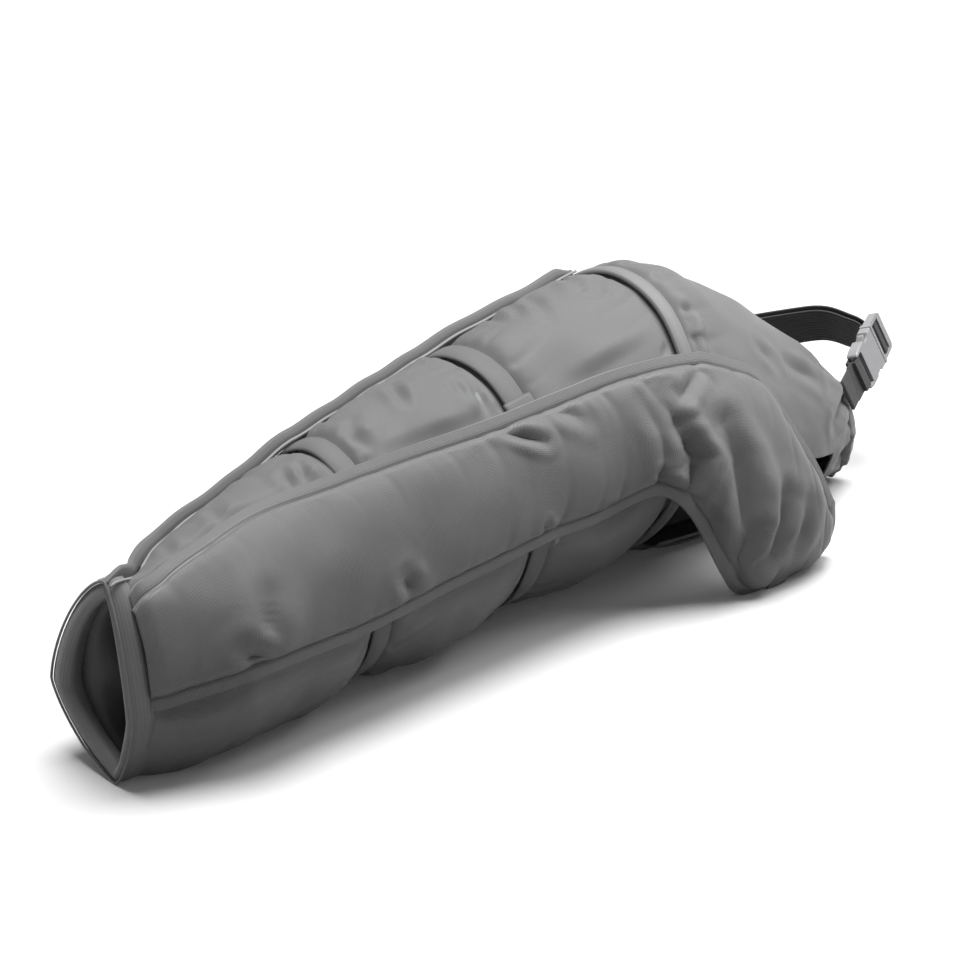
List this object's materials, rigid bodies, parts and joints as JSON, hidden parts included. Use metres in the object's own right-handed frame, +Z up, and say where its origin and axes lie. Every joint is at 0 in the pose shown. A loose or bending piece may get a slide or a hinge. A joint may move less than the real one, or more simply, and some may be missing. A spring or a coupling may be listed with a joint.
{
  "type": "compression arm and shoulder sleeve",
  "caption": "Inflatable compression sleeve for an arm and shoulder, with air cells, a front flap and chest panel, and a webbing belt with a side-release buckle.",
  "frame": {"origin": "middle of the whole part in plan, at the height of the surface it lies on", "axes": "+X along the arm from the wrist mouth to the shoulder, -Y towards the front flap, +Z up"},
  "size_m": [0.9206, 0.2969, 0.2503],
  "materials": {
    "cover_cloth": "matte coated weave",
    "binding_tape": "ribbed tape",
    "cell_film": "smooth film",
    "inlet_plastic": "moulded",
    "lining_cloth": "smooth lining",
    "strap_tape": "woven tape",
    "belt_webbing": "woven webbing",
    "buckle_plastic": "satin moulded"
  },
  "bodies": {
    "sleeve": {"arm_lining": "lining_cloth", "belt_long": "belt_webbing", "belt_short": "belt_webbing", "belt_tail": "belt_webbing", "buckle_socket": "buckle_plastic", "elbow_air_port": "inlet_plastic", "elbow_bladder": "cell_film", "elbow_cover": "cover_cloth", "elbow_strap": "strap_tape", "elbow_strap_patch": "strap_tape", "flap_binding": "binding_tape", "forearm_air_port": "inlet_plastic", "forearm_bladder": "cell_film", "forearm_cover": "cover_cloth", "forearm_strap": "strap_tape", "front_flap": "cover_cloth", "hem_binding": "binding_tape", "hem_tab": "cover_cloth", "rim_binding": "binding_tape", "shoulder_air_port": "inlet_plastic", "shoulder_band": "binding_tape", "shoulder_bladder": "cell_film", "shoulder_cover": "cover_cloth", "shoulder_lining": "lining_cloth", "top_seam_binding": "binding_tape", "upper_arm_air_port": "inlet_plastic", "upper_arm_bladder": "cell_film", "upper_arm_cover": "cover_cloth", "wrist_binding": "binding_tape"},
    "buckle_plug": {"buckle_plug": "buckle_plastic", "belt_loop": "belt_webbing"},
    "prong_upper": {"prong_upper": "buckle_plastic"},
    "prong_lower": {"prong_lower": "buckle_plastic"}
  },
  "joints": [
    {"name": "buckle_release", "type": "slide", "parent": "sleeve", "child": "buckle_plug", "axis": [0.8744, 0.406, 0.2655], "range_m": [0, 0.026], "deforming": ["belt_long", "belt_tail", "prong_upper", "prong_lower"]},
    {"name": "prong_upper_squeeze", "type": "hinge", "parent": "buckle_plug", "child": "prong_upper", "pos_m": [0.42334, -0.00801, 0.12047], "axis": [0.3094, -0.8883, 0.3394], "range_deg": [0, 12], "stiffness_Nm_per_rad": 0.4},
    {"name": "prong_lower_squeeze", "type": "hinge", "parent": "buckle_plug", "child": "prong_lower", "pos_m": [0.4323, -0.01316, 0.09882], "axis": [-0.3094, 0.8883, -0.3394], "range_deg": [0, 12], "stiffness_Nm_per_rad": 0.4}
  ],
  "couplings": [
    {"joint": "prong_lower_squeeze", "follows": "prong_upper_squeeze", "ratio": 1}
  ]
}
